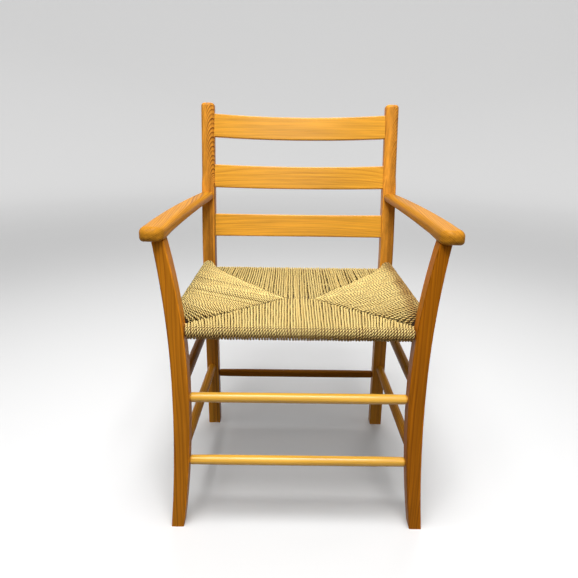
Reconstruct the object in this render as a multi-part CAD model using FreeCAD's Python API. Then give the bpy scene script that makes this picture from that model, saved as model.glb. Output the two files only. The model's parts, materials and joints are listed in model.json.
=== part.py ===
import FreeCAD, Part
import math
import os

# Ladder-back armchair with a woven cord seat. Millimetres, Z up, the front faces minus Y.
# Depths are counted backwards from the front faces of the front legs until the last step, which
# puts the origin on the floor under the middle of the chair. Left and right are as seen from the front.

Vector = FreeCAD.Vector
along_x = Vector(1, 0, 0)
along_y = Vector(0, 1, 0)
along_z = Vector(0, 0, 1)

# Back posts
post_height = 828.0
post_spacing = 438.0
post_width = 31.0
post_depth = 34.0
post_foot_width = 30.0
post_foot_depth = 32.0
post_taper_height = 300.0
post_arris = 2.5
post_front_round = 11.0
post_back_round = 8.0
post_round_start = 640.0
post_round_run = 24.0
post_top_round = 7.0
post_setback = 54.0
bend_height = 477.0
bend_reach = 45.0
frame_depth = 400.0

# Front legs, sawn to a bow
leg_depth = 33.0
leg_waist_height = 325.0
leg_waist_spread = 483.0
leg_waist_width = 31.8
leg_foot_width = 25.5
leg_top_width = 22.0
leg_foot_flare = 17.0
leg_top_flare = 21.0
leg_arris = 2.5

# Arms
arm_top_height = 634.0
arm_thickness = 26.5
arm_fall = 9.5
arm_rear_thickness = 18.0
arm_front_width = 42.0
arm_rear_width = 30.0
arm_outer_bulge = 10.0
arm_inner_bulge = 5.5
arm_overhang = 17.0
arm_outer_corner = 13.0
arm_inner_corner = 22.0
arm_nose_top = 13.0
arm_nose_under = 10.0
arm_top_edge_round = 11.0
arm_under_edge_round = 7.0
arm_station_pitch = 52.0
arm_round_share = 0.45
arm_tenon_diameter = 12.0
arm_tenon_length = 16.0
leg_tenon_diameter = 14.0
leg_tenon_length = 13.0

# Slats
slat_first_share = 0.188
slat_spaces = 3
slat_height = 54.5
slat_thickness = 14.0
slat_bow = 38.0
slat_tilt = 4.0
slat_housing = 14.0
slat_arris = 3.0

# Turned stretchers
stretcher_diameter = 20.0
stretcher_end_diameter = 19.0
stretcher_taper = 60.0
bar_shoulder = 2.0
tenon_diameter = 14.0
lower_side_wall = 3.5
upper_side_wall = 9.0
front_lower_height = 152.0
front_upper_height = 293.5
back_stretcher_drop = 26.0

# Seat rails and the cord that covers them
rail_diameter = 19.0
rail_end_taper = 6.0
front_rail_height = 430.0
back_rail_height = 424.0
side_rail_wall = 8.0
side_rail_fall = 6.0
cord_diameter = 4.8
seat_sag = 15.5
seat_bridge = 58.5
seat_core = 14.0

# Fits
fit_clearance = 0.12
glue_gap = 1.0
neck_gap = 0.8
cord_clearance = 0.4
cord_sink = 0.5
arm_lap = 1.9

# Values worked out from the sizes above
lean = math.atan2(post_setback, post_height - bend_height)
bend_radius = bend_reach / math.tan(lean / 2)
bend_start = bend_height - bend_reach
post_x = post_spacing / 2
post_y = frame_depth + post_depth / 2
post_inner_x = post_x - post_width / 2
slat_pitch = (post_height - bend_height) / slat_spaces
slat_bottom_height = bend_height + slat_first_share * (post_height - bend_height)
lean_up = Vector(0, math.sin(lean), math.cos(lean))
arm_slope = math.atan2(arm_fall + arm_rear_thickness - arm_thickness, frame_depth)
arm_underside = arm_top_height - arm_thickness
leg_y = leg_depth / 2
side_lower_height = front_lower_height + tenon_diameter + lower_side_wall
side_upper_height = front_upper_height + tenon_diameter + upper_side_wall
side_rail_height = front_rail_height + tenon_diameter + side_rail_wall
side_rail_back_height = side_rail_height - side_rail_fall
back_stretcher_height = side_lower_height - back_stretcher_drop
roll_radius = rail_diameter / 2 + cord_diameter


def turned(shape, axis, radians):
    copy = shape.copy()
    copy.rotate(Vector(0, 0, 0), axis, math.degrees(radians))
    return copy


def moved(shape, offset):
    copy = shape.copy()
    copy.translate(offset)
    return copy


def mirrored(shape):
    return shape.mirror(Vector(0, 0, 0), along_x)


def post_centre(height):
    # Centre line of the posts above the bend
    return Vector(0, post_y + (height - bend_height) * math.tan(lean), height)


def bow(rise, reach, flare):
    # How far an arc that is upright at the waist has moved out at this rise
    radius = (reach ** 2 + flare ** 2) / (2 * flare)
    return radius - math.sqrt(radius ** 2 - rise ** 2)


def leg_edge_x(height, waist_x, foot_flare, top_flare):
    if height < leg_waist_height:
        return waist_x + bow(leg_waist_height - height, leg_waist_height, foot_flare)
    return waist_x + bow(height - leg_waist_height, arm_underside - leg_waist_height, top_flare)


def leg_outer_x(height):
    return leg_edge_x(height, leg_waist_spread / 2, leg_foot_flare, leg_top_flare)


def leg_inner_x(height):
    waist_x = leg_waist_spread / 2 - leg_waist_width
    foot_flare = leg_foot_flare + leg_waist_width - leg_foot_width
    top_flare = leg_top_flare + leg_waist_width - leg_top_width
    return leg_edge_x(height, waist_x, foot_flare, top_flare)


def leg_centre(height):
    return Vector((leg_outer_x(height) + leg_inner_x(height)) / 2, leg_y, height)


def rounded_section(width, depth, front_round, back_round):
    # Rectangle about the origin, with one radius at its front corners and one at its back corners
    corners = [
        (width / 2, -depth / 2, front_round, -90),
        (width / 2, depth / 2, back_round, 0),
        (-width / 2, depth / 2, back_round, 90),
        (-width / 2, -depth / 2, front_round, 180),
    ]
    arcs = []
    for x, y, radius, start in corners:
        centre = Vector(x - math.copysign(radius, x), y - math.copysign(radius, y), 0)
        arcs.append(Part.makeCircle(radius, centre, along_z, start, start + 90))
    edges = []
    for arc, following in zip(arcs, arcs[1:] + arcs[:1]):
        edges.append(arc)
        edges.append(Part.makeLine(arc.lastVertex().Point, following.firstVertex().Point))
    return Part.Wire(edges)


def post_section(width, depth):
    return rounded_section(width, depth, post_arris, post_arris)


def on_lean(section, height):
    return moved(turned(section, along_x, -lean), post_centre(height))


def along_lean(height_from, height_to):
    return lean_up * ((height_to - height_from) / math.cos(lean))


def back_post():
    at_foot = Vector(0, post_y, 0)
    at_taper = Vector(0, post_y, post_taper_height)
    square = post_section(post_width, post_depth)
    round_fronted = rounded_section(post_width, post_depth, post_front_round, post_back_round)
    foot_wire = moved(post_section(post_foot_width, post_foot_depth), at_foot)
    foot = Part.makeLoft([foot_wire, moved(square, at_taper)], True, True)
    shaft = Part.Face(moved(square, at_taper)).extrude(along_z * (bend_start - post_taper_height))
    bend_centre = Vector(0, post_y + bend_radius, bend_start)
    bend_face = Part.Face(moved(square, Vector(0, post_y, bend_start)))
    bend = bend_face.revolve(bend_centre, -along_x, math.degrees(lean))
    bend_end = bend_height + bend_reach * math.cos(lean)
    leaning = Part.Face(on_lean(square, bend_end)).extrude(along_lean(bend_end, post_round_start))
    round_end = post_round_start + post_round_run
    run_out_ends = [on_lean(square, post_round_start), on_lean(round_fronted, round_end)]
    run_out = Part.makeLoft(run_out_ends, True, True)
    upper = Part.Face(on_lean(round_fronted, round_end)).extrude(along_lean(round_end, post_height))
    top_face = max(upper.Faces, key=lambda face: face.CenterOfMass.z)
    upper = upper.makeFillet(post_top_round, top_face.Edges)
    post = foot.multiFuse([shaft, bend, leaning, run_out, upper]).removeSplitter()
    return moved(post, Vector(post_x, 0, 0))


def leg_edge(edge_x, height_from, height_to):
    heights = [height_from, (height_from + height_to) / 2, height_to]
    points = [Vector(edge_x(height), 0, height) for height in heights]
    return Part.Arc(*points).toShape()


def tilted_box_above(underside_point, slope):
    # A large block whose lower face is the plane of the arm's underside
    size = 2 * post_height
    block = Part.makeBox(size, size, size, Vector(-size / 2, -size / 2, 0))
    return moved(turned(block, along_x, -slope), underside_point)


def front_leg():
    top = arm_underside + arm_thickness / 2
    rim = [
        leg_edge(leg_outer_x, 0, leg_waist_height),
        leg_edge(leg_outer_x, leg_waist_height, top),
        Part.makeLine(Vector(leg_outer_x(top), 0, top), Vector(leg_inner_x(top), 0, top)),
        leg_edge(leg_inner_x, leg_waist_height, top),
        leg_edge(leg_inner_x, 0, leg_waist_height),
        Part.makeLine(Vector(leg_inner_x(0), 0, 0), Vector(leg_outer_x(0), 0, 0)),
    ]
    leg = Part.Face(Part.Wire(Part.__sortEdges__(rim))).extrude(along_y * leg_depth)
    arrises = [edge for edge in leg.Edges if edge.BoundBox.ZLength > leg_waist_height / 2]
    leg = leg.makeFillet(leg_arris, arrises)
    shoulder = Vector(leg_outer_x(arm_underside), leg_y, leg_shoulder_height())
    leg = leg.cut(tilted_box_above(shoulder, arm_slope))
    return leg.fuse(leg_tenon(0))


def leg_shoulder_height():
    return arm_underside - leg_y * math.tan(arm_slope) - fit_clearance


def leg_tenon(clearance):
    # Round tenon on the leg's top, and with a clearance the hole that it fills
    base = leg_centre(leg_shoulder_height()) - along_z * leg_arris
    length = leg_tenon_length + leg_arris + clearance
    if clearance:
        length = length + glue_gap
    return Part.makeCylinder(leg_tenon_diameter / 2 + clearance, length, base, along_z)


def arm_rear_point():
    # Middle of the arm's rear end, on the posts' front face
    height = arm_top_height - arm_fall - arm_rear_thickness / 2
    depth = post_centre(height).y - post_depth / 2 / math.cos(lean)
    return Vector(post_x, depth, height)


def arm_tenon(clearance):
    direction = Vector(0, math.cos(arm_slope), -math.sin(arm_slope))
    length = 2 * arm_tenon_length + clearance
    if clearance:
        length = length + glue_gap
    start = arm_rear_point() - direction * arm_tenon_length
    return Part.makeCylinder(arm_tenon_diameter / 2 + clearance, length, start, direction)


def eased(distance, reach):
    # How far a quarter-round nose of this reach has drawn in, at a distance behind its tip
    if distance > reach:
        return 0
    return reach - math.sqrt(reach ** 2 - (reach - distance) ** 2)


def arm_section(depth, rear):
    front = -arm_overhang
    share = (depth - front) / (rear - front)
    bulge = 4 * share * (1 - share)
    inner_front = leg_inner_x(arm_underside) - arm_lap
    inner_rear = post_x - arm_rear_width / 2
    inner = inner_front + (inner_rear - inner_front) * share + arm_inner_bulge * bulge
    width = arm_front_width + (arm_rear_width - arm_front_width) * share
    outer = inner + width + (arm_outer_bulge - arm_inner_bulge) * bulge
    under = arm_underside - depth * math.tan(arm_slope)
    top = under + arm_thickness + (arm_rear_thickness - arm_thickness) * share
    from_tip = depth - front
    inner = inner + eased(from_tip, arm_inner_corner)
    outer = outer - eased(from_tip, arm_outer_corner)
    under = under + eased(from_tip, arm_nose_under)
    top = top - eased(from_tip, arm_nose_top)
    top_round = min(arm_top_edge_round, (top - under) * arm_round_share)
    under_round = min(arm_under_edge_round, (top - under) * arm_round_share)
    section = rounded_section(outer - inner, top - under, under_round, top_round)
    upright = turned(section, along_x, math.pi / 2)
    return moved(upright, Vector((inner + outer) / 2, depth, (under + top) / 2))


def arm():
    # Loft through upright sections, close together round the nose
    front = -arm_overhang
    rear = arm_rear_point().y + post_depth / 2
    nose_reach = max(arm_outer_corner, arm_inner_corner)
    nose_depths = [front + nose_reach * share ** 2 for share in (0, 0.2, 0.4, 0.6, 0.8, 1)]
    nose_end = front + nose_reach
    count = round((rear - nose_end) / arm_station_pitch)
    depths = nose_depths + [nose_end + (rear - nose_end) * step / count for step in range(1, count + 1)]
    body = Part.makeLoft([arm_section(depth, rear) for depth in depths], True, False)
    body = body.cut(post_front_block(fit_clearance)).cut(leg_tenon(fit_clearance))
    return body.fuse(arm_tenon(0))


def post_front_block(clearance):
    # Everything behind the plane of the posts' front faces, above the bend
    size = 2 * post_height
    block = Part.makeBox(size, size, size, Vector(-size / 2, -post_depth / 2 - clearance, -size / 2))
    return moved(turned(block, along_x, -lean), post_centre(arm_underside))


def slat(centre_height, grown, housing):
    # Bent slat whose ends run on into the posts, and with a growth the housings that they fill
    radius = (post_inner_x ** 2 + slat_bow ** 2) / (2 * slat_bow)
    reach = post_inner_x + housing
    centre = Vector(0, slat_bow - radius, 0)
    half_angle = math.degrees(math.asin(reach / radius))
    outer = radius + slat_thickness / 2 + grown
    inner = radius - slat_thickness / 2 - grown
    far = Part.makeCircle(outer, centre, along_z, 90 - half_angle, 90 + half_angle)
    near = Part.makeCircle(inner, centre, along_z, 90 - half_angle, 90 + half_angle)
    rim = [
        far,
        Part.makeLine(far.lastVertex().Point, near.lastVertex().Point),
        near,
        Part.makeLine(near.firstVertex().Point, far.firstVertex().Point),
    ]
    height = slat_height + 2 * grown
    profile = Part.Face(Part.Wire(Part.__sortEdges__(rim)))
    body = moved(profile, along_z * (-height / 2)).extrude(along_z * height)
    if not grown:
        body = body.makeFillet(slat_arris, [edge for edge in body.Edges if edge.Length > reach])
    return moved(turned(body, along_x, -lean - math.radians(slat_tilt)), post_centre(centre_height))


def between_legs(height):
    # A bar between the front legs: its two ends on their middles, and the length of its tenons
    tip = leg_centre(height)
    tenon = tip.x - leg_inner_x(height)
    return Vector(-tip.x, tip.y, tip.z), tip, tenon, tenon


def between_posts(height):
    tip = Vector(post_x, post_y, height)
    return Vector(-tip.x, tip.y, tip.z), tip, post_width / 2, post_width / 2


def beside_seat(front_height, back_height):
    # A bar from the right front leg back to the right post
    return leg_centre(front_height), Vector(post_x, post_y, back_height), leg_depth / 2, post_depth / 2


def turned_bar(line, diameter, end_diameter, taper):
    # Round bar on round tenons
    start, end, start_tenon, end_tenon = line
    length = (end - start).Length
    near = start_tenon + neck_gap
    far = length - end_tenon - neck_gap
    tenon_radius = tenon_diameter / 2
    outline = [
        Vector(0, 0, 0),
        Vector(tenon_radius, 0, 0),
        Vector(tenon_radius, 0, near),
        Vector(end_diameter / 2, 0, near + bar_shoulder),
        Vector(diameter / 2, 0, near + taper),
        Vector(diameter / 2, 0, far - taper),
        Vector(end_diameter / 2, 0, far - bar_shoulder),
        Vector(tenon_radius, 0, far),
        Vector(tenon_radius, 0, length),
        Vector(0, 0, length),
        Vector(0, 0, 0),
    ]
    bar = Part.Face(Part.makePolygon(outline)).revolve(Vector(0, 0, 0), along_z, 360)
    bar.Placement = FreeCAD.Placement(start, FreeCAD.Rotation(along_z, end - start))
    return bar


def stretcher(line):
    return turned_bar(line, stretcher_diameter, stretcher_end_diameter, stretcher_taper)


def seat_rail(line):
    return turned_bar(line, rail_diameter, rail_diameter, rail_end_taper)


def start_hole(line):
    start, end, start_tenon, end_tenon = line
    return tenon_hole(start, (end - start).normalize(), start_tenon)


def end_hole(line):
    start, end, start_tenon, end_tenon = line
    return tenon_hole(end, (start - end).normalize(), end_tenon)


def tenon_hole(tip, outward, tenon):
    radius = tenon_diameter / 2 + fit_clearance
    return Part.makeCylinder(radius, 2 * tenon + glue_gap, tip - outward * glue_gap, outward)


def cylinder_along(line, radius):
    start, end, start_tenon, end_tenon = line
    return Part.makeCylinder(radius, (end - start).Length, start, end - start)


def rail_x(line, depth):
    start, end, start_tenon, end_tenon = line
    return start.x + (end.x - start.x) * (depth - start.y) / (end.y - start.y)


def seat_slab(half_width, depth_from, depth_to):
    # Box that trims a cord roll to the space between two legs
    size = 2 * post_height
    return Part.makeBox(2 * half_width, depth_to - depth_from, size, Vector(-half_width, depth_from, 0))


def seat_weave(front_rail, back_rail, side_rail):
    # The outer shape of the cord as four panels that dip to the middle, each with the roll round its rail
    front_x = leg_inner_x(front_rail_height - roll_radius) - cord_clearance
    back_x = post_inner_x - cord_clearance
    front_y = leg_depth + cord_clearance
    back_y = frame_depth - cord_clearance
    apex_y = (front_y + back_y) / 2
    apex_x = seat_bridge / 2
    apex_top = front_rail_height + roll_radius - seat_sag

    def panel_points(lift, apex_height):
        front_height = front_rail_height + lift
        back_height = back_rail_height + lift
        front_slope = (apex_height - front_height) / (apex_y - leg_y)
        back_slope = (apex_height - back_height) / (apex_y - post_y)
        return [
            Vector(front_x, leg_y, front_height),
            Vector(front_x, front_y, front_height + front_slope * (front_y - leg_y)),
            Vector(rail_x(side_rail, front_y), front_y, side_rail_height + lift),
            Vector(rail_x(side_rail, back_y), back_y, side_rail_back_height + lift),
            Vector(back_x, back_y, back_height + back_slope * (back_y - post_y)),
            Vector(back_x, post_y, back_height),
            Vector(apex_x, apex_y, apex_height),
        ]

    def flipped(point):
        return Vector(-point.x, point.y, point.z)

    def panels(points):
        front, front_nook, side_front, side_back, back_nook, back, apex = points
        faces = [
            [front, front_nook, apex, flipped(apex), flipped(front_nook), flipped(front)],
            [back, back_nook, apex, flipped(apex), flipped(back_nook), flipped(back)],
        ]
        for triangle in (
                [front_nook, side_front, apex], [side_front, side_back, apex], [side_back, back_nook, apex]):
            faces.append(triangle)
            faces.append([flipped(point) for point in triangle])
        return faces

    top = panel_points(roll_radius - cord_sink, apex_top)
    under = panel_points(cord_sink - roll_radius, apex_top - seat_core)
    faces = panels(top) + panels(under)
    for index in range(5):
        wall = [top[index], top[index + 1], under[index + 1], under[index]]
        faces.append(wall)
        faces.append([flipped(point) for point in wall])
    for index in (0, 5):
        faces.append([top[index], flipped(top[index]), flipped(under[index]), under[index]])
    closed = [Part.Face(Part.makePolygon(face + face[:1])) for face in faces]
    core = Part.makeSolid(Part.makeShell(closed))
    side_roll = cylinder_along(side_rail, roll_radius).common(seat_slab(2 * post_x, front_y, back_y))
    rolls = [
        cylinder_along(front_rail, roll_radius).common(seat_slab(front_x, 0, frame_depth)),
        cylinder_along(back_rail, roll_radius).common(seat_slab(back_x, 0, 2 * frame_depth)),
        side_roll,
        mirrored(side_roll),
    ]
    weave = core.multiFuse(rolls).removeSplitter()
    for rail in (front_rail, back_rail, side_rail):
        tunnel = cylinder_along(rail, rail_diameter / 2 + fit_clearance)
        weave = weave.cut(tunnel)
        if rail is side_rail:
            weave = weave.cut(mirrored(tunnel))

    def within(outline):
        corners = [Vector(x, y, 0) for x, y in outline]
        region = Part.Face(Part.makePolygon(corners + corners[:1]))
        return weave.common(region.extrude(along_z * 2 * post_height))

    beyond = 2 * post_x
    behind = 2 * frame_depth
    middle = [(apex_x, apex_y), (-apex_x, apex_y)]
    front_edge = [(-front_x, front_y), (-beyond, front_y), (-beyond, 0)]
    front_edge += [(beyond, 0), (beyond, front_y), (front_x, front_y)]
    back_edge = [(-back_x, back_y), (-beyond, back_y), (-beyond, behind)]
    back_edge += [(beyond, behind), (beyond, back_y), (back_x, back_y)]
    right_edge = [(front_x, front_y), (beyond, front_y), (beyond, back_y), (back_x, back_y)]
    right = within(right_edge + middle[:1])
    return {
        "seat_weave_front": within(front_edge + middle),
        "seat_weave_back": within(back_edge + middle),
        "seat_weave_right": right,
        "seat_weave_left": mirrored(right),
    }


# Lines of the turned bars
front_bars = {
    "front_stretcher_upper": between_legs(front_upper_height),
    "front_stretcher_lower": between_legs(front_lower_height),
}
back_bar = between_posts(back_stretcher_height)
side_bars = {
    "side_stretcher_upper": beside_seat(side_upper_height, side_upper_height),
    "side_stretcher_lower": beside_seat(side_lower_height, side_lower_height),
}
front_rail = between_legs(front_rail_height)
back_rail = between_posts(back_rail_height)
side_rail = beside_seat(side_rail_height, side_rail_back_height)
side_lines = list(side_bars.values()) + [side_rail]
slat_names = ["slat_bottom", "slat_middle", "slat_top"]
slat_heights = [slat_bottom_height + slat_pitch * step for step in range(len(slat_names))]

# Right-hand pieces with their mortises
post = back_post().cut(arm_tenon(fit_clearance))
for height in slat_heights:
    post = post.cut(slat(height, fit_clearance, slat_housing + glue_gap))
for line in side_lines + [back_bar, back_rail]:
    post = post.cut(end_hole(line))
leg = front_leg()
for line in side_lines:
    leg = leg.cut(start_hole(line))
for line in list(front_bars.values()) + [front_rail]:
    leg = leg.cut(end_hole(line))

pieces = {
    "back_post_right": post,
    "back_post_left": mirrored(post),
    "front_leg_right": leg,
    "front_leg_left": mirrored(leg),
    "arm_right": arm(),
    "arm_left": mirrored(arm()),
    "back_stretcher": stretcher(back_bar),
    "seat_rail_front": seat_rail(front_rail),
    "seat_rail_back": seat_rail(back_rail),
    "seat_rail_right": seat_rail(side_rail),
    "seat_rail_left": mirrored(seat_rail(side_rail)),
}
pieces.update(seat_weave(front_rail, back_rail, side_rail))
for name, height in zip(slat_names, slat_heights):
    pieces[name] = slat(height, 0, slat_housing)
for name, line in front_bars.items():
    pieces[name] = stretcher(line)
for name, line in side_bars.items():
    pieces[name + "_right"] = stretcher(line)
    pieces[name + "_left"] = mirrored(stretcher(line))

# The origin goes on the floor under the middle of the chair
whole = FreeCAD.BoundBox()
for shape in pieces.values():
    whole.add(shape.optimalBoundingBox(False, False))
to_origin = Vector(0, -whole.Center.y, 0)

os.makedirs("parts", exist_ok=True)
for name, shape in pieces.items():
    moved(shape, to_origin).exportStep("parts/" + name + ".step")
    print(name, shape.isValid(), len(shape.Solids), round(shape.Volume / 1000, 1))
size = [round(extent, 1) for extent in (whole.XLength, whole.YLength, whole.ZLength)]
print("overall", size, "shift", to_origin.y)
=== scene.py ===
import json
import math
import random

import bmesh
import bpy
from mathutils import Matrix, Vector


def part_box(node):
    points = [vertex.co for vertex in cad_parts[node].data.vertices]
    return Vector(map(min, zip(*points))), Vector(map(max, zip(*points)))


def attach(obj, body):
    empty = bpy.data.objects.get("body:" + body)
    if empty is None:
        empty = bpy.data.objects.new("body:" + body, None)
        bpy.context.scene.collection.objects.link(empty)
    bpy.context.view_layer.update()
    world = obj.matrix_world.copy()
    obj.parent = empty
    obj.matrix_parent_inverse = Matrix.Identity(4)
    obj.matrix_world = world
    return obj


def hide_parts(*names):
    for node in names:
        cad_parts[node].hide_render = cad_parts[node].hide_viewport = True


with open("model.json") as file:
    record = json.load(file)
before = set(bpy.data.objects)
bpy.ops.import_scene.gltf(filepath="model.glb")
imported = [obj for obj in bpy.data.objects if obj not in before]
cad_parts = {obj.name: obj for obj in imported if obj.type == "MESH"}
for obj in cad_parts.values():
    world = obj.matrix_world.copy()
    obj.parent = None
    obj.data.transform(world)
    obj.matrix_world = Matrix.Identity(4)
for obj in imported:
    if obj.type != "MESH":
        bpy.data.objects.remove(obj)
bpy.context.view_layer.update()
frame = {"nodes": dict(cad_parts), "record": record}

nodes = frame["nodes"]
scene = bpy.context.scene
scene.view_settings.view_transform = "Standard"
print("frame loaded:", len(nodes), "nodes")


def addObject(name, data):
    thing = bpy.data.objects.new(name, data)
    scene.collection.objects.link(thing)
    return thing


# An object made from a bmesh, which is freed
def addShape(name, shape, material):
    mesh = bpy.data.meshes.new(name)
    shape.to_mesh(mesh)
    shape.free()
    mesh.materials.append(material)
    return addObject(name, mesh)


# A socket that takes part in Python expressions
class Wire:
    def __init__(self, tree, socket):
        self.tree = tree
        self.socket = socket

    def node(self, kind, settings, sockets, output=0):
        made = self.tree.nodes.new("ShaderNode" + kind)
        for name, value in settings.items():
            if name == "stops":
                setStops(made.color_ramp, value)
            else:
                setattr(made, name, value)
        plug(made, sockets)
        return Wire(self.tree, made.outputs[output])

    def maths(self, operation, *others):
        return self.node("Math", {"operation": operation}, dict(enumerate((self, *others))))

    def __add__(self, other):
        return self.maths("ADD", other)

    def __sub__(self, other):
        return self.maths("SUBTRACT", other)

    def __rsub__(self, other):
        return self.maths("MULTIPLY_ADD", -1, other)

    def __mul__(self, other):
        return self.maths("MULTIPLY", other)

    def __truediv__(self, other):
        return self.maths("DIVIDE", other)

    def __pow__(self, other):
        return self.maths("POWER", other)

    __radd__ = __add__
    __rmul__ = __mul__

    # Mixes two colours by this value: sockets 6 and 7 and output 2 are the mix node's colour ones
    def mixed(self, first, second):
        settings = {"data_type": "RGBA", "clamp_factor": True}
        return self.node("Mix", settings, {0: self, 6: first, 7: second}, output=2)

    # This colour darkened by a grey value
    def shaded(self, grey):
        settings = {"data_type": "RGBA", "blend_type": "MULTIPLY"}
        tint = self.node("CombineColor", {}, {"Red": grey, "Green": grey, "Blue": grey})
        return self.node("Mix", settings, {0: 1.0, 6: self, 7: tint}, output=2)

    # Lays values from 0 to 1 on a curve of stops
    def ramp(self, stops):
        return self.node("ValToRGB", {"stops": stops}, {"Fac": self})

    # The value 0 below a first limit, 1 above a second, and eased between
    def eased(self, low, high):
        sockets = {"Value": self, "From Min": low, "From Max": high}
        return self.node("MapRange", {"interpolation_type": "SMOOTHSTEP"}, sockets)

    # Noise at this place
    def noise(self, scale, detail=2.0, rough=0.5):
        sockets = {"Vector": self, "Scale": scale, "Detail": detail, "Roughness": rough}
        return self.node("TexNoise", {"noise_dimensions": "3D"}, sockets)


# Sets a node's sockets, each by a plain value or by a link
def plug(node, sockets):
    for name, value in sockets.items():
        if isinstance(value, Wire):
            value.tree.links.new(value.socket, node.inputs[name])
        else:
            node.inputs[name].default_value = value


def setStops(ramp, stops):
    while len(ramp.elements) < len(stops):
        ramp.elements.new(1)
    for element, (place, value) in zip(ramp.elements, stops):
        element.position = place
        element.color = (value, value, value, 1)


def newFinish(name):
    material = bpy.data.materials.new(name)
    material.use_nodes = True
    tree = material.node_tree
    place = Wire(tree, tree.nodes.new("ShaderNodeTexCoord").outputs["Object"])
    return material, tree.nodes["Principled BSDF"], place


def axesOf(place):
    split = place.tree.nodes.new("ShaderNodeSeparateXYZ")
    plug(split, {0: place})
    return {axis: Wire(place.tree, split.outputs[axis]) for axis in "XYZ"}


# Oiled pine: growth rings about a pith beside the piece, so every face is cut from the same wood
pine = {
    "ringWidth": 0.0022,
    "ringWave": 1.2,
    "ringNoise": {"Scale": 210, "Detail": 2.0},
    "year": [(0.0, 0.10), (0.42, 0.08), (0.72, 0.55), (0.88, 1.0), (0.96, 0.8), (1.0, 0.10)],
    "faintestYear": 0.55,
    "wander": 0.0014,
    "bow": 0.0,
    "lateStrength": 0.8,
    "fibre": 0.35,
    "streak": 0.8,
    "patch": 0.4,
    "roughness": 0.36,
    "fibreRough": 0.10,
    "lateSmooth": 0.05,
    "specular": 0.28,
    "fibreRelief": 0.6,
    "lateRelief": 0.4,
    "bump": {"Strength": 0.10, "Distance": 0.0006},
    "noises": {
        "wanderAcross": {"shift": 3.1, "stretch": 0.16, "scale": 26, "detail": 1.5},
        "wanderThrough": {"shift": 7.7, "stretch": 0.16, "scale": 26, "detail": 1.5},
        "fibres": {"shift": 1.3, "stretch": 0.018, "scale": 900, "detail": 3.0, "rough": 0.6},
        "streaks": {"shift": 5.9, "stretch": 0.03, "scale": 170, "rough": 0.55},
        "patches": {"shift": 9.2, "stretch": 0.25, "scale": 14},
    },
    "heart": None,
}


# A stick's own pine, given the middle of the stick across its grain
def pineFinish(name, look, middle):
    heart = look["heart"]
    pith = [value + offset for value, offset in zip(middle, look["pith"])]
    material, shader, place = newFinish(name)
    axes = axesOf(place)
    along = axes.pop(look["grain"])
    across, through = axes.values()
    if look["bow"]:
        across = across + along * along * look["bow"]  # a bent slat's grain follows the bend
    rounded = through
    if heart:
        past = (across - middle[0]).maths("ABSOLUTE") - heart["flat"]
        past = past.maths("MAXIMUM", 0).maths("MINIMUM", heart["round"])
        fall = heart["round"] - (heart["round"] ** 2 - past ** 2) ** 0.5
        rounded = through - fall  # the rings meet the rounded corner as they meet the face beside it

    # A noise drawn out along the grain
    def grainNoise(name):
        texture = dict(look["noises"][name])
        parts = {"X": across + texture.pop("shift"), "Y": through, "Z": along * texture.pop("stretch")}
        return along.node("CombineXYZ", {}, parts).noise(**texture)

    # Rings wander slowly, by noises that stay within about a quarter of their middle
    reach = 4 * look["wander"]
    fromPithAcross = across - pith[0] + (grainNoise("wanderAcross") - 0.5) * reach
    fromPithThrough = rounded - pith[1] + (grainNoise("wanderThrough") - 0.5) * reach
    if heart:
        # Further down, the heart runs with the post
        fromPithThrough = fromPithThrough.maths("SMOOTH_MAX", heart["least"], heart["soft"])
    radius = (fromPithAcross ** 2 + fromPithThrough ** 2) ** 0.5
    ringNoise = along.node("TexNoise", {"noise_dimensions": "1D"}, {"W": radius, **look["ringNoise"]})
    rings = radius / look["ringWidth"] + ringNoise * look["ringWave"]
    late = rings.maths("FRACT").ramp(look["year"])
    yearTone = along.node("TexWhiteNoise", {"noise_dimensions": "1D"}, {"W": rings.maths("FLOOR")})
    fibres = grainNoise("fibres")
    streaks = grainNoise("streaks")
    patches = grainNoise("patches")

    faintest = look["faintestYear"]
    lateShare = late * (faintest + yearTone * (1 - faintest)) * look["lateStrength"]
    if heart:
        fromHeart = fromPithAcross.maths("ABSOLUTE")
        lateShare = lateShare * (1 - fromHeart.eased(*heart["fadeSpan"]) * heart["fade"])
    wood = lateShare.mixed(look["early"], look["late"])
    shade = (
        1 + (fibres - 0.5) * look["fibre"]
        + (streaks - 0.5) * look["streak"]
        + (patches - 0.5) * look["patch"]
    )
    height = fibres * look["fibreRelief"] + late * look["lateRelief"]
    plug(shader, {
        "Base Color": wood.shaded(shade),
        "Roughness": look["roughness"] + fibres * look["fibreRough"] - late * look["lateSmooth"],
        "Normal": along.node("Bump", {}, {"Height": height, **look["bump"]}),
        "Specular IOR Level": look["specular"],
    })
    return material


# The posts lean across the heart of the log, which cuts its rings into arcs down one side of the face
postPine = {
    "ringWidth": 0.0016,
    "ringWave": 0.25,
    "wander": 0.0002,
    "early": (0.70, 0.285, 0.030, 1),
    "late": (0.15, 0.034, 0.002, 1),
    "specular": 0.12,
    "lateStrength": 1.25,
    "streak": 1.1,
    "heart": {
        "flat": 0.0045, "round": 0.011, "least": 0.003, "soft": 0.003,
        "fadeSpan": (0.011, 0.019), "fade": 0.75,
    },
}
# Darker tones of single pieces, fitted to how each one looks in the photograph: painted shade on the right
# front leg and on the stretchers under the seat
shadedRightLeg = {"early": (0.52, 0.165, 0.005, 1), "late": (0.28, 0.070, 0.002, 1)}
deepShadeBar = {"early": (0.36, 0.125, 0.006, 1), "late": (0.21, 0.060, 0.003, 1), "specular": 0.05}
paleShadeBar = {"early": (0.62, 0.255, 0.014, 1), "late": (0.38, 0.125, 0.006, 1), "specular": 0.05}

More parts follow.
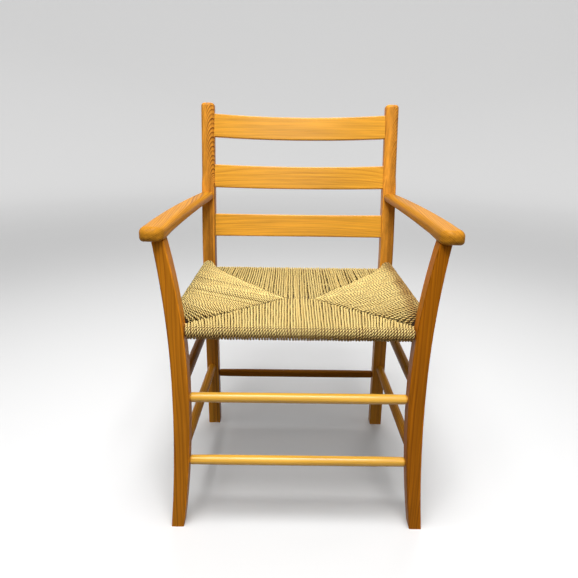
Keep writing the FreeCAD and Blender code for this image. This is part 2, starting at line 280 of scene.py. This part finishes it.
# Where each stick was cut: the way its grain runs and where the pith lies from its middle, in metres
sticks = {
    "back_post_left": {"grain": "Z", "pith": (0.0120, -0.0265), **postPine},
    "back_post_right": {"grain": "Z", "pith": (0.0150, -0.0275), **postPine, "ringWidth": 0.0013},
    "front_leg_left": {"grain": "Z", "pith": (0.036, 0.095)},
    # The right front leg's darker tone is painted shade
    "front_leg_right": {"grain": "Z", "pith": (-0.040, 0.090), **shadedRightLeg},
    "arm_left": {"grain": "Y", "pith": (0.030, -0.072)},
    "arm_right": {"grain": "Y", "pith": (-0.034, -0.066)},
    "slat_top": {"grain": "X", "pith": (-0.110, -0.046)},
    "slat_middle": {"grain": "X", "pith": (-0.095, 0.062), "wander": 0.0008},
    "slat_bottom": {"grain": "X", "pith": (-0.120, -0.040)},
    "front_stretcher_upper": {"grain": "X", "pith": (0.030, 0.052)},
    "front_stretcher_lower": {"grain": "X", "pith": (-0.040, 0.060)},
    # These stretchers' darker tones are painted shade from the seat above them
    "back_stretcher": {"grain": "X", "pith": (0.040, -0.060), **deepShadeBar},
    "side_stretcher_upper_left": {"grain": "Y", "pith": (0.050, 0.045), **deepShadeBar},
    "side_stretcher_upper_right": {"grain": "Y", "pith": (-0.048, 0.050), **paleShadeBar},
    "side_stretcher_lower_left": {"grain": "Y", "pith": (0.055, -0.040), **paleShadeBar},
    "side_stretcher_lower_right": {"grain": "Y", "pith": (-0.052, -0.046), **paleShadeBar},
    "seat_rail_front": {"grain": "X", "pith": (0.040, 0.040)},
    "seat_rail_back": {"grain": "X", "pith": (0.040, -0.040)},
    "seat_rail_left": {"grain": "Y", "pith": (0.040, 0.050)},
    "seat_rail_right": {"grain": "Y", "pith": (-0.040, 0.050)},
}
tones = {
    "leg_pine": {"early": (0.63, 0.220, 0.011, 1), "late": (0.33, 0.090, 0.004, 1), "specular": 0.07},
    "arm_pine": {
        "early": (0.575, 0.247, 0.018, 1), "late": (0.20, 0.050, 0.003, 1), "lateStrength": 1.0,
        "ringWidth": 0.0019, "roughness": 0.34, "specular": 0.08,
    },
    "slat_pine": {
        "early": (0.70, 0.325, 0.021, 1), "late": (0.45, 0.162, 0.008, 1), "lateStrength": 0.65,
        "bow": 0.917, "roughness": 0.28, "specular": 0.45,
    },
    "stretcher_pine": {
        "early": (0.85, 0.46, 0.045, 1), "late": (0.66, 0.29, 0.020, 1), "roughness": 0.24, "specular": 0.5,
    },
    # The seat rails are darker than bare pine: painted shade, so that the rail seen through the gaps in the
    # cord reads as in shadow
    "rail_pine": {"early": (0.16, 0.080, 0.022, 1), "late": (0.10, 0.045, 0.012, 1), "roughness": 0.7},
}
slotOf = {row["node"]: row["material_slot"] for row in frame["record"]["subparts"]}
for name, stick in sticks.items():
    low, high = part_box(name)
    middle = dict(zip("XYZ", (low + high) / 2))
    middle.pop(stick["grain"])
    look = {**pine, **tones[slotOf[name]], **stick}
    finish = pineFinish(name + "_pine", look, list(middle.values()))
    for slot in nodes[name].material_slots:
        slot.material = finish
print("pine finishes:", len(sticks))


# Seat: two-ply cord wound over the rails in four panels that meet on the diagonals, lengths in metres
seat = {
    "cord": 0.0048,
    "plySpread": 0.00112,
    "corners": 8,
    "lay": 0.0120,
    "rollDrift": 0.35,
    "looseDrift": 1.6,
    "layDrift": 0.07,
    "swell": (0.95, 1.03),
    "fineStep": 0.0017,
    "coarseStep": 0.0034,
    "innerStep": 0.0040,
    "leastSteps": 4,
    "leastInnerSteps": 3,
    "leanTrials": 8,
    "frontStrands": 80,
    "backStrands": 75,
    "sideStrands": 68,
    "widthSpread": 0.06,
    "sag": 0.0155,
    "core": 0.014,
    "pastSeam": 0.0015,
    "diveLength": 0.007,
    "diveDepth": 0.0075,
    "innerDepth": 1.3,
    "frontFan": 0.26,
    "backFan": 0.13,
    "fanPower": 1.4,
    "sideways": 0.0005,
    "frontLoose": (1, 1),
    "backLoose": (1.2, 2.8),
    "upDown": 0.0003,
    "wave": 0.0003,
    "waveRate": 70,
    "mergeWithin": 0.000001,
    "seed": 11,
}
rng = random.Random(seat["seed"])
frontRailLow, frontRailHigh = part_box("seat_rail_front")
backRailLow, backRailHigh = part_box("seat_rail_back")
sideRailLow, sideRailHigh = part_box("seat_rail_right")
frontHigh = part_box("seat_weave_front")[1]
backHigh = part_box("seat_weave_back")[1]
sideLow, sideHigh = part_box("seat_weave_right")
frontRail = (frontRailLow + frontRailHigh) / 2
backRail = (backRailLow + backRailHigh) / 2
railRadius = (frontRailHigh.z - frontRailLow.z) / 2
wrap = railRadius + seat["cord"] / 2
apex = Vector((sideLow.x, frontHigh.y, frontHigh.z - seat["sag"] - seat["cord"] / 2))
apexUnder = frontHigh.z - seat["sag"] - seat["core"] + seat["cord"] / 2
acrossWay = Vector((1, 0, 0))
backWay = Vector((0, 1, 0))


def between(first, second, share):
    return first + (second - first) * share


def clamped(share):
    return min(max(share, 0), 1)


# Height of the two layers of cord above the front or back rail, where a panel meets the next one
def panelHeights(rail, depth):
    share = abs(depth - rail.y) / abs(apex.y - rail.y)
    return between(rail.z + wrap, apex.z, share), between(rail.z - wrap, apexUnder, share)


def seamDepth(across, halfWidth, nookDepth):
    share = (halfWidth - abs(across)) / (halfWidth - apex.x)
    return between(nookDepth, apex.y, min(share, 1))


# A side panel at one depth: its seam, the side rail, and the heights of its two layers at the seam
def sideSpan(depth):
    share = (depth - sideLow.y) / (sideHigh.y - sideLow.y)
    railX = between(sideRailHigh.x - railRadius, sideRailLow.x + railRadius, share)
    railZ = between(sideRailHigh.z - railRadius, sideRailLow.z + railRadius, share)
    if depth < apex.y:
        seam = between(frontHigh.x, apex.x, (depth - sideLow.y) / (apex.y - sideLow.y))
        top, under = panelHeights(frontRail, depth)
    else:
        seam = between(backHigh.x, apex.x, (sideHigh.y - depth) / (sideHigh.y - apex.y))
        top, under = panelHeights(backRail, depth)
    return seam, railX, railZ, top, under


def onRail(angle):
    return Vector((math.cos(angle), math.sin(angle))) * wrap


# One strand's line in the upright plane across its rail: from the seam over the rail and back underneath
def strandLine(reach, top, under):
    topTurn = math.atan2(top, reach) + math.acos(wrap / math.hypot(reach, top))
    underTurn = math.atan2(under, reach) - math.acos(wrap / math.hypot(reach, under)) + 2 * math.pi
    leaving = onRail(topTurn)
    joining = onRail(underTurn)
    topEnd = Vector((reach + seat["pastSeam"], top))
    underEnd = Vector((reach + seat["pastSeam"], under))
    line = []
    steps = max(seat["leastSteps"], round((topEnd - leaving).length / seat["fineStep"]))
    for step in range(steps):
        line.append(topEnd.lerp(leaving, step / steps))
    steps = round(wrap * (underTurn - topTurn) / seat["fineStep"])
    for step in range(steps):
        line.append(onRail(between(topTurn, underTurn, step / steps)))
    steps = max(seat["leastSteps"], round((underEnd - joining).length / seat["coarseStep"]))
    for step in range(steps + 1):
        line.append(joining.lerp(underEnd, step / steps))

    # Both ends dive between the layers, under the strands that cross them
    for end, way in ((topEnd, -1), (underEnd, 1)):
        for point in line:
            near = 1 - (point - end).length / seat["diveLength"]
            if near > 0:
                point.y += way * seat["diveDepth"] * near ** 2
    return line


# The line set in its place on a rail, leaning to the seam, its under half between two upper ones
def placed(line, start, inward, sideways, lean, advance):
    lift = rng.gauss(0, seat["upDown"])
    waveTurn = rng.uniform(0, 2 * math.pi)
    points = []
    for place in line:
        share = max(place.x, 0) / line[0].x
        wave = math.sin(place.x * seat["waveRate"] + waveTurn) * seat["wave"]
        turned = clamped((wrap - place.y) / (2 * wrap))
        spot = start + inward * place.x + sideways * (lean * share + wave + advance * turned)
        points.append(spot + Vector((0, 0, place.y + lift)))
    return points


# Where the twist of neighbours drifts little, the plies read as slanting rows over the roll
def layStrand(curve, points, drift):
    spline = curve.splines.new("POLY")
    spline.points.add(len(points) - 1)
    crown = max(points, key=lambda point: point.z)
    rise = points[:points.index(crown) + 1]
    toCrown = sum((second - first).length for first, second in zip(rise, rise[1:]))
    turn = 2 * math.pi / seat["lay"] * (1 + rng.gauss(0, drift * seat["layDrift"]))
    tilt = rng.gauss(0, drift) - toCrown * turn
    swell = rng.uniform(*seat["swell"])
    last = points[0]
    for point, place in zip(spline.points, points):
        tilt += (place - last).length * turn
        last = place
        point.co = (*place, 1)
        point.tilt = tilt
        point.radius = swell
    spline.points[0].radius = 0
    spline.points[-1].radius = 0


# Places of the strands along a rail, some pushed apart
def strandPlaces(count, first, last, gaps):
    widths = []
    for index in range(count):
        widths.append(1 + rng.gauss(0, seat["widthSpread"]) + gaps.get(index, 0))
    total = sum(widths)
    places = []
    walked = 0
    for width in widths:
        places.append(between(first, last, (walked + width / 2) / total))
        walked += width
    return places


def cordProfile():
    curve = bpy.data.curves.new("cord_profile", "CURVE")
    curve.dimensions = "2D"
    spline = curve.splines.new("POLY")
    spline.points.add(seat["corners"] - 1)
    spread = seat["plySpread"]
    ply = seat["cord"] / 2 - spread
    for index, point in enumerate(spline.points):
        angle = -2 * math.pi * index / seat["corners"]
        radius = spread * abs(math.cos(angle)) + math.sqrt(ply ** 2 - (spread * math.sin(angle)) ** 2)
        point.co = (radius * math.cos(angle), radius * math.sin(angle), 0, 1)
    spline.use_cyclic_u = True
    return addObject("cord_profile", curve)


# Straw coloured cord: pale on the crests of its plies and dark in the grooves, which is painted shade;
# stained browner in blotches over the right roll, and painted darker and browner under the front roll as
# painted shade
straw = {
    "light": (0.95, 0.745, 0.29, 1),
    "dark": (0.84, 0.60, 0.20, 1),
    "grooveShade": (0.07, 0.030, 0.006, 1),
    "stainAndShade": (0.46, 0.25, 0.065, 1),
    "crest": [(0.0, 0.0), (0.50, 0.06), (0.74, 0.84), (1.0, 1.0)],
    "flecks": {"scale": 260, "detail": 3.0, "rough": 0.6},
    "blotches": {"scale": 16},
    "grain": {"scale": 1500},
    "toneShare": 0.5,
    "fleckShare": 0.6,
    "blotchShare": 0.7,
    "lighter": 0.25,
    "rightRoll": {"across": (0.200, 0.222), "blotches": (0.25, 0.60), "strength": 0.9},
    "frontRollShade": {"height": (0.4265, 0.4345), "depth": (-0.232, -0.215), "strength": 0.85},
    "roughness": 0.62,
    "grainRough": 0.2,
    "specular": 0.25,
    "bump": {"Strength": 0.25, "Distance": 0.0004},
}


def cordFinish():
    material, shader, place = newFinish("seat_cord_finish")
    tone = place.node("Attribute", {"attribute_name": "tone"}, {}, output="Fac")
    crest = place.node("Attribute", {"attribute_name": "crest"}, {}, output="Fac")
    fleck = place.noise(**straw["flecks"])
    blotch = place.noise(**straw["blotches"])
    grain = place.noise(**straw["grain"])
    share = tone * straw["toneShare"] + fleck * straw["fleckShare"]
    share = share + (blotch - 0.5) * straw["blotchShare"] - straw["lighter"]
    clean = share.mixed(straw["light"], straw["dark"])

    # The roll over the right rail is stained browner in blotches, and the front roll is browner below,
    # which is painted shade under the roll
    axes = axesOf(place)
    right = straw["rightRoll"]
    front = straw["frontRollShade"]
    stainAndShade = axes["X"].eased(*right["across"]) * blotch.eased(*right["blotches"]) * right["strength"]
    # Painted shade on the underside of the front roll
    under = (1 - axes["Z"].eased(*front["height"])) * (1 - axes["Y"].eased(*front["depth"]))
    stainAndShade = stainAndShade.maths("MAXIMUM", under * front["strength"])
    # The ply grooves take the near black groove colour: painted shade
    lit = crest.ramp(straw["crest"])
    plug(shader, {
        "Base Color": lit.mixed(straw["grooveShade"], stainAndShade.mixed(clean, straw["stainAndShade"])),
        "Roughness": straw["roughness"] + grain * straw["grainRough"],
        "Normal": place.node("Bump", {}, {"Height": grain, **straw["bump"]}),
        "Specular IOR Level": straw["specular"],
    })
    return material


profile = cordProfile()
cordLook = cordFinish()


def weavePanel(name, node, strands, drift):
    curve = bpy.data.curves.new(name, "CURVE")
    curve.dimensions = "3D"
    curve.bevel_mode = "OBJECT"
    curve.bevel_object = profile
    for points in strands:
        layStrand(curve, points, drift)
    wound = addObject(name + "_wound", curve)
    mesh = bpy.data.meshes.new_from_object(wound.evaluated_get(bpy.context.evaluated_depsgraph_get()))
    mesh.name = name
    corners = seat["corners"]
    ring = [abs(math.cos(2 * math.pi * index / corners)) for index in range(corners)]
    strandTones = []
    crests = []
    for points in strands:
        strandTones.extend([rng.random()] * (len(points) * corners))
        crests.extend(ring * len(points))
    mesh.attributes.new("tone", "FLOAT", "POINT").data.foreach_set("value", strandTones)
    mesh.attributes.new("crest", "FLOAT", "POINT").data.foreach_set("value", crests)
    bpy.data.objects.remove(wound)
    bpy.data.curves.remove(curve)

    # The ends close to a point
    shape = bmesh.new()
    shape.from_mesh(mesh)
    bmesh.ops.remove_doubles(shape, verts=shape.verts, dist=seat["mergeWithin"])
    shape.to_mesh(mesh)
    shape.free()
    mesh.shade_smooth()
    mesh.materials.append(cordLook)
    panel = addObject(name, mesh)
    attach(panel, "root")
    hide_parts(node)
    print(name, len(strands), "strands,", len(mesh.polygons), "faces")


# A straight run of cord between the two layers
def innerRun(first, last, heightAt):
    steps = max(seat["leastInnerSteps"], round((last - first).length / seat["innerStep"]))
    points = []
    for step in range(steps + 1):
        spot = first.lerp(last, step / steps)
        points.append(Vector((spot.x, spot.y, heightAt(spot) - seat["cord"] * seat["innerDepth"])))
    return points


# Front or back panel: strands over the rail, looser on one half, and the runs from side to side under them
def crossStrands(rail, halfWidth, nookDepth, places, inward, fan, looseness, depths):
    strands = []
    for across in places:
        slant = math.copysign(fan * (abs(across) / halfWidth) ** seat["fanPower"], across)
        lean = 0
        for trial in range(seat["leanTrials"]):
            depth = seamDepth(across + lean, halfWidth, nookDepth)
            lean = slant * abs(depth - rail.y)
        top, under = panelHeights(rail, depth)
        line = strandLine(abs(depth - rail.y), top - rail.z, under - rail.z)
        lean += rng.gauss(0, seat["sideways"]) * looseness[across > 0]
        advance = math.copysign(seat["cord"] / 2, -across)
        strands.append(placed(line, Vector((across, rail.y, rail.z)), inward, acrossWay, lean, advance))
    filled = rail.y + inward.y * wrap
    while (nookDepth - filled) * inward.y > 0:
        depths = [filled, *depths]
        filled += inward.y * seat["cord"]
    for depth in depths:
        if (depth - apex.y) * (rail.y - apex.y) > 0:
            seam = min(sideSpan(depth)[0], halfWidth)
            height = panelHeights(rail, depth)[0]
            strands.append(innerRun(Vector((-seam, depth)), Vector((seam, depth)), lambda spot: height))
    return strands


# Side panel: strands over the side rail, and the runs from front to back under them
def sideStrands(hand, depths, places):
    def heightAt(spot):
        seam, railX, railZ, top = sideSpan(spot.y)[:4]
        return between(top, railZ + wrap, clamped((abs(spot.x) - seam) / (railX - seam)))

    strands = []
    for depth in depths:
        seam, railX, railZ, top, under = sideSpan(depth)
        line = strandLine(railX - seam, top - railZ, under - railZ)
        lean = rng.gauss(0, seat["sideways"])
        advance = math.copysign(seat["cord"] / 2, apex.y - depth)
        start = Vector((hand * railX, depth, railZ))
        strands.append(placed(line, start, acrossWay * -hand, backWay, lean, advance))
    for across in places:
        if across * hand > apex.x:
            first = Vector((across, seamDepth(across, frontHigh.x, sideLow.y)))
            last = Vector((across, seamDepth(across, backHigh.x, sideHigh.y)))
            strands.append(innerRun(first, last, heightAt))
    return strands


# Where strands stand apart, by their number along the rail, as shares of a strand's width
strandGaps = {
    "front": {},
    "back": {45: 0.3, 48: 0.35, 58: 0.3, 64: 0.3, 70: 0.3},
    "right": {
        0: 0.9, 1: 0.9, 2: 0.8, 3: 0.8, 4: 0.7, 5: 0.7, 6: 0.6, 7: 0.6, 9: 0.6, 11: 0.6,
        14: 0.6, 17: 0.6, 20: 0.6, 24: 0.8, 28: 0.5, 33: 0.9,
    },
    "left": {
        0: 0.6, 1: 0.7, 2: 0.7, 3: 0.7, 4: 0.6, 5: 0.5, 6: 0.5, 8: 0.5, 10: 0.4, 24: 1.5, 37: 1.8,
    },
}


frontPlaces = strandPlaces(seat["frontStrands"], -frontHigh.x, frontHigh.x, strandGaps["front"])
backPlaces = strandPlaces(seat["backStrands"], -backHigh.x, backHigh.x, strandGaps["back"])
rightDepths = strandPlaces(seat["sideStrands"], sideLow.y, sideHigh.y, strandGaps["right"])
leftDepths = strandPlaces(seat["sideStrands"], sideLow.y, sideHigh.y, strandGaps["left"])
frontStrands = crossStrands(
    frontRail, frontHigh.x, sideLow.y, frontPlaces, backWay,
    seat["frontFan"], seat["frontLoose"], leftDepths)
backStrands = crossStrands(
    backRail, backHigh.x, sideHigh.y, backPlaces, -backWay,
    seat["backFan"], seat["backLoose"], leftDepths)
weavePanel("seat_cord_front", "seat_weave_front", frontStrands, seat["rollDrift"])
weavePanel("seat_cord_back", "seat_weave_back", backStrands, seat["looseDrift"])
rightStrands = sideStrands(1, rightDepths, frontPlaces)
weavePanel("seat_cord_right", "seat_weave_right", rightStrands, seat["looseDrift"])
leftStrands = sideStrands(-1, leftDepths, frontPlaces)
weavePanel("seat_cord_left", "seat_weave_left", leftStrands, seat["looseDrift"])
bpy.data.objects.remove(profile)


# Flat dark sheet between the two layers, so that nothing shows through the cord: its dark colour is painted
# shade in the gaps between the strands
shadeSheet = {
    "thickness": 0.002,
    "colour": (0.060, 0.030, 0.010, 1),
    "roughness": 0.9,
}


def layShadeSheet():
    nearX, nearZ = sideSpan(sideLow.y)[1:3]
    farX, farZ = sideSpan(sideHigh.y)[1:3]
    half = [
        Vector((frontHigh.x, frontRail.y, frontRail.z)),
        Vector((frontHigh.x, sideLow.y, sum(panelHeights(frontRail, sideLow.y)) / 2)),
        Vector((nearX, sideLow.y, nearZ)),
        Vector((farX, sideHigh.y, farZ)),
        Vector((backHigh.x, sideHigh.y, sum(panelHeights(backRail, sideHigh.y)) / 2)),
        Vector((backHigh.x, backRail.y, backRail.z)),
        Vector((apex.x, apex.y, (apex.z + apexUnder) / 2)),
    ]
    shape = bmesh.new()
    right = [shape.verts.new(spot) for spot in half]
    left = [shape.verts.new((-spot.x, spot.y, spot.z)) for spot in half]
    for outer, inner in ((0, 1), (1, 6), (6, 4), (4, 5)):
        shape.faces.new((left[outer], right[outer], right[inner], left[inner]))
    for side, step in ((right, 1), (left, -1)):
        shape.faces.new((side[1], side[2], side[3], side[4])[::step])
        shape.faces.new((side[1], side[4], side[6])[::step])
    shape.normal_update()
    bmesh.ops.solidify(shape, geom=shape.faces[:], thickness=shadeSheet["thickness"])
    bmesh.ops.recalc_face_normals(shape, faces=shape.faces)
    material, shader, place = newFinish("seat_shade_sheet_finish")
    # Painted shade: the sheet is near black so the gaps in the cord read as shadow
    plug(shader, {"Base Color": shadeSheet["colour"], "Roughness": shadeSheet["roughness"]})
    sheet = addShape("seat_shade_sheet", shape, material)
    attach(sheet, "root")
    print("seat shade sheet", len(sheet.data.polygons), "faces")


layShadeSheet()


# Pale floor that turns up into a plain backdrop on every side, which glows far from the chair
studio = {
    "flat": 3.8,
    "turn": 1.2,
    "turnSteps": 16,
    "wallTop": 4.5,
    "sides": 72,
    "mergeWithin": 0.0001,
    "pale": (0.80, 0.80, 0.80, 1),
    "bounce": (0.12, 0.12, 0.12, 1),
    "roughness": 0.75,
    "backdrop": (0.42, 0.42, 0.42, 1),
    "unlit": (0, 0, 0, 1),
    "glowSpan": (1.8, 4.4),
    "ambient": 0.13,
    "lampAim": (0, 0, 0.45),
}


def layFloor():
    edge = Vector((studio["flat"], 0, 0))
    outline = [Vector((0, 0, 0)), edge]
    for step in range(1, studio["turnSteps"] + 1):
        angle = math.pi / 2 * step / studio["turnSteps"]
        outline.append(Vector((math.sin(angle), 0, 1 - math.cos(angle))) * studio["turn"] + edge)
    outline.append(Vector((studio["flat"] + studio["turn"], 0, studio["wallTop"])))
    shape = bmesh.new()
    spots = [shape.verts.new(spot) for spot in outline]
    edges = [shape.edges.new(pair) for pair in zip(spots, spots[1:])]
    bmesh.ops.spin(
        shape, geom=spots + edges, cent=(0, 0, 0), axis=(0, 0, 1), angle=2 * math.pi, steps=studio["sides"])
    bmesh.ops.remove_doubles(shape, verts=shape.verts, dist=studio["mergeWithin"])
    bmesh.ops.recalc_face_normals(shape, faces=shape.faces)
    if min(shape.faces, key=lambda face: face.calc_center_median().length).normal.z < 0:
        bmesh.ops.reverse_faces(shape, faces=shape.faces)

    # Pale to the camera, but it throws little light back on the chair
    material, shader, place = newFinish("pale_floor")
    seen = place.node("LightPath", {}, {}, output="Is Camera Ray")
    mirrored = place.node("LightPath", {}, {}, output="Is Glossy Ray")
    through = place.node("LightPath", {}, {}, output="Is Transmission Ray")
    shown = seen + mirrored + through
    away = place.node("VectorMath", {"operation": "LENGTH"}, {0: place}, output="Value")
    glow = shown * away.eased(*studio["glowSpan"])
    plug(shader, {
        "Base Color": shown.mixed(studio["bounce"], studio["pale"]),
        "Roughness": studio["roughness"],
        "Emission Color": glow.mixed(studio["unlit"], studio["backdrop"]),
        "Emission Strength": 1,
    })
    floor = addShape("floor", shape, material)
    floor.data.shade_smooth()


layFloor()
world = bpy.data.worlds.new("studio")
world.use_nodes = True
scene.world = world
plug(world.node_tree.nodes["Background"], {"Color": (1, 1, 1, 1), "Strength": studio["ambient"]})

# Soft lamps: each has a place, a size in metres and a power in watts
lamps = {
    "overhead": {"place": (-0.10, -0.85, 2.7), "size": 1.3, "power": 77},
    "front": {"place": (0.3, -2.6, 2.7), "size": 2.0, "power": 27},
    "left": {"place": (-2.8, -0.4, 1.8), "size": 1.8, "power": 11},
    "right": {"place": (2.8, 0.1, 1.8), "size": 1.8, "power": 9},
    "back": {"place": (0.2, 1.9, 3.0), "size": 1.8, "power": 34},
}
for name, lamp in lamps.items():
    light = bpy.data.lights.new(name, "AREA")
    light.size = lamp["size"]
    light.energy = lamp["power"]
    place = Vector(lamp["place"])
    aim = (Vector(studio["lampAim"]) - place).to_track_quat("-Z", "Y")
    addObject(name, light).matrix_world = Matrix.Translation(place) @ aim.to_matrix().to_4x4()
print("studio lit:", len(lamps), "lamps")

# Camera as in the photograph: straight ahead, tipped down and rolled a little
view = {
    "place": (-0.0225, -1.22308, 0.852),
    "turn": -0.067,
    "tipDown": 18.69,
    "roll": 0.7,
    "lens": 36,
    "sensor": 36,
}
camera = bpy.data.cameras.new("camera")
camera.lens = view["lens"]
camera.sensor_width = view["sensor"]
turn = Matrix.Rotation(math.radians(view["turn"]), 4, "Z")
tip = Matrix.Rotation(math.radians(90 - view["tipDown"]), 4, "X")
roll = Matrix.Rotation(math.radians(view["roll"]), 4, "Z")
scene.camera = addObject("camera", camera)
scene.camera.matrix_world = Matrix.Translation(view["place"]) @ turn @ tip @ roll

bpy.context.view_layer.update()
